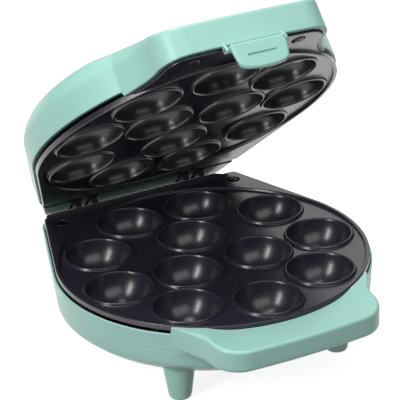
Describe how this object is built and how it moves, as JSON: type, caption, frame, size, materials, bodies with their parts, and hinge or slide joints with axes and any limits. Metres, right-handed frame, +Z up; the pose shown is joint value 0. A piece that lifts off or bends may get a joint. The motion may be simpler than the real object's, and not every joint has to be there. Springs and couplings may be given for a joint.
{
  "type": "donut maker",
  "caption": "Small round-bodied electric maker of ball-shaped donuts, its hinged lid standing open over non-stick plates of hemispherical cups, with a front latch.",
  "frame": {"origin": "on the table under the middle of the open maker's bounding box", "axes": "+Z up, -Y to the front, where the handles and the latch are, +Y to the hinge, +X to the right as seen from the front. The rest pose has the lid open by 42.4 degrees."},
  "size_m": [0.194, 0.2471, 0.2246],
  "materials": {
    "mint_plastic": "satin gloss pale mint moulding",
    "nonstick_coating": "die-cast aluminium under a black non-stick coating, satin",
    "steel": "plain zinc or stainless steel",
    "black_steel": "blackened steel screws",
    "dark_plastic": "black heat-proof plastic",
    "rubber": "matt black rubber",
    "ceramic": "matt off-white ceramic",
    "lamp_red": "clear red lens",
    "lamp_green": "clear green lens"
  },
  "bodies": {
    "base": {"base_housing": "mint_plastic", "lower_plate": "nonstick_coating", "foot_pad_front_left": "rubber", "foot_pad_front_right": "rubber", "foot_pad_rear_left": "rubber", "foot_pad_rear_right": "rubber", "lower_plate_screw_left": "black_steel", "lower_plate_screw_right": "black_steel", "lower_heating_element": "steel", "thermostat": "ceramic", "lower_thermal_fuse": "steel", "terminal_block": "ceramic", "cord_bushing": "rubber", "lower_element_wire": "dark_plastic", "thermostat_wire": "dark_plastic", "hinge_pin_right": "steel", "hinge_pin_left": "steel"},
    "lid": {"lid_housing": "mint_plastic", "upper_plate": "nonstick_coating", "upper_plate_screw_rear_left": "black_steel", "upper_plate_screw_rear_right": "black_steel", "upper_plate_screw_front_left": "black_steel", "upper_plate_screw_front_right": "black_steel", "upper_heating_element": "steel", "upper_thermal_fuse": "steel", "lamp_holder": "dark_plastic", "power_lamp_lens": "lamp_red", "ready_lamp_lens": "lamp_green", "lid_wire": "dark_plastic", "latch_pin": "steel"},
    "latch": {"latch": "mint_plastic"}
  },
  "joints": [
    {"name": "lid_hinge", "type": "hinge", "parent": "base", "child": "lid", "pos_m": [0, 0.1006, 0.0624], "axis": [-1, 0, 0], "range_deg": [-42.4, 57.6]},
    {"name": "latch_pivot", "type": "hinge", "parent": "lid", "child": "latch", "pos_m": [0, -0.0686, 0.21], "axis": [-1, 0, 0], "range_deg": [0, 60]}
  ]
}
